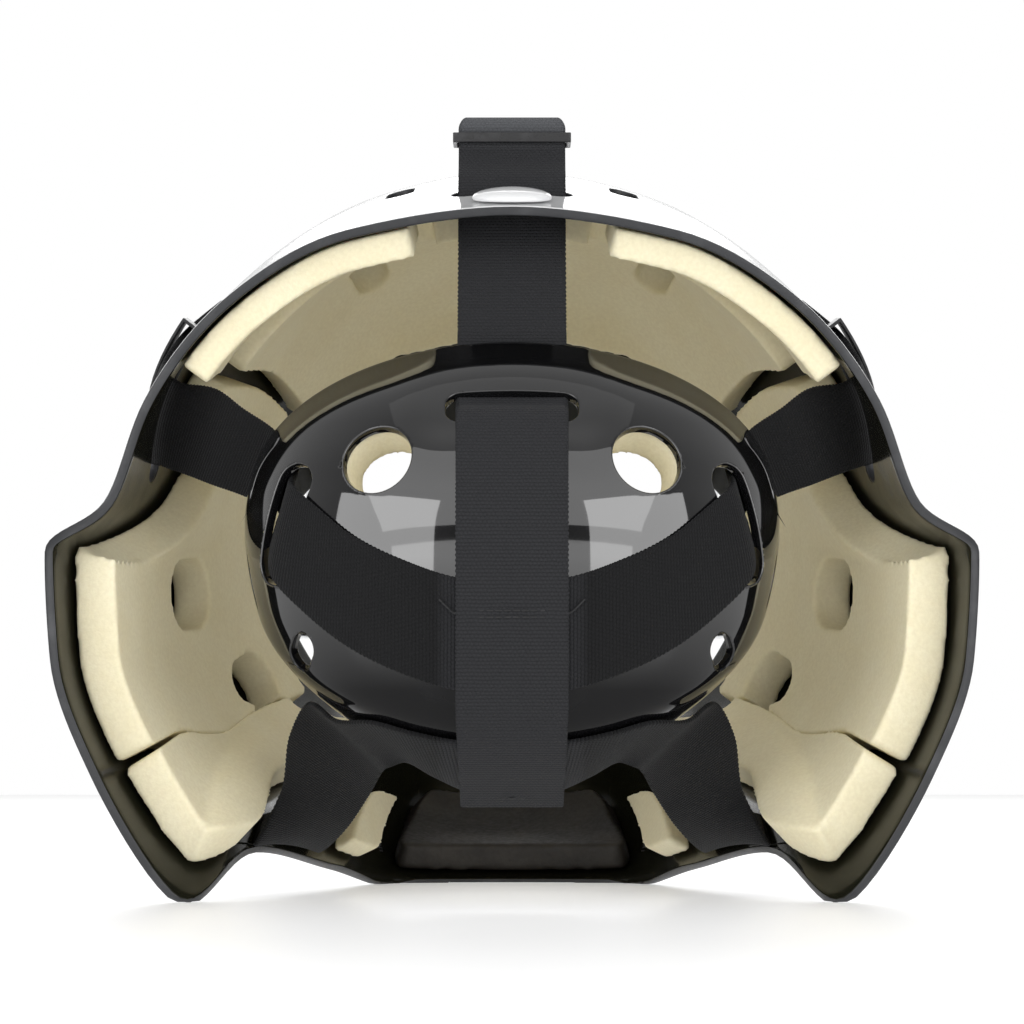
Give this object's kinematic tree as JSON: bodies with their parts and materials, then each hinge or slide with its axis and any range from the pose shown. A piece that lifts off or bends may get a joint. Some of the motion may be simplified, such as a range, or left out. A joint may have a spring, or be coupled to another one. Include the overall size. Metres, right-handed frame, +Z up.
{
  "type": "goalie helmet",
  "caption": "Hard goaltender's mask, open at the back: foam-lined shell with a wire face cage and a strapped back plate.",
  "frame": {"origin": "centre of the footprint box, on the surface that the mask stands on", "axes": "+Z up, +Y the way the mask faces, +X to the wearer's right; x = 0 is its plane of symmetry"},
  "size_m": [0.276, 0.2794, 0.2367],
  "materials": {
    "shell_paint": "glossy white lacquer outside, glossy near-black resin inside, satin dark rim",
    "plate_plastic": "high gloss black",
    "foam": "matte cream closed-cell foam",
    "cup_foam": "matte dark soft cup",
    "elastic": "black knitted elastic webbing",
    "badge_plastic": "glossy white",
    "buckle_plastic": "moulded black",
    "clip_plastic": "moulded black",
    "cage_steel": "polished plated wire",
    "rivet_steel": "plain steel"
  },
  "bodies": {
    "root": {"shell": "shell_paint", "back_plate": "plate_plastic", "plate_lining": "foam", "crown_pad_left": "foam", "crown_pad_right": "foam", "temple_pad_left": "foam", "temple_pad_right": "foam", "jaw_pad_left": "foam", "jaw_pad_right": "foam", "lower_jaw_pad_left": "foam", "lower_jaw_pad_right": "foam", "chin_side_pad_left": "foam", "chin_side_pad_right": "foam", "forehead_pad": "foam", "chin_cup": "cup_foam", "crown_strap": "elastic", "side_strap": "elastic", "lower_strap": "elastic", "crown_badge": "badge_plastic", "crown_slider": "buckle_plastic", "side_slider_left": "buckle_plastic", "strap_rivet_left": "rivet_steel", "side_slider_right": "buckle_plastic", "strap_rivet_right": "rivet_steel", "cage": "cage_steel", "cage_clip_upper_left": "clip_plastic", "cage_screw_upper_left": "rivet_steel", "cage_clip_upper_right": "clip_plastic", "cage_screw_upper_right": "rivet_steel", "cage_clip_side_left": "clip_plastic", "cage_screw_side_left": "rivet_steel", "cage_clip_side_right": "clip_plastic", "cage_screw_side_right": "rivet_steel", "cage_clip_lower_left": "clip_plastic", "cage_screw_lower_left": "rivet_steel", "cage_clip_lower_right": "clip_plastic", "cage_screw_lower_right": "rivet_steel"}
  },
  "joints": []
}
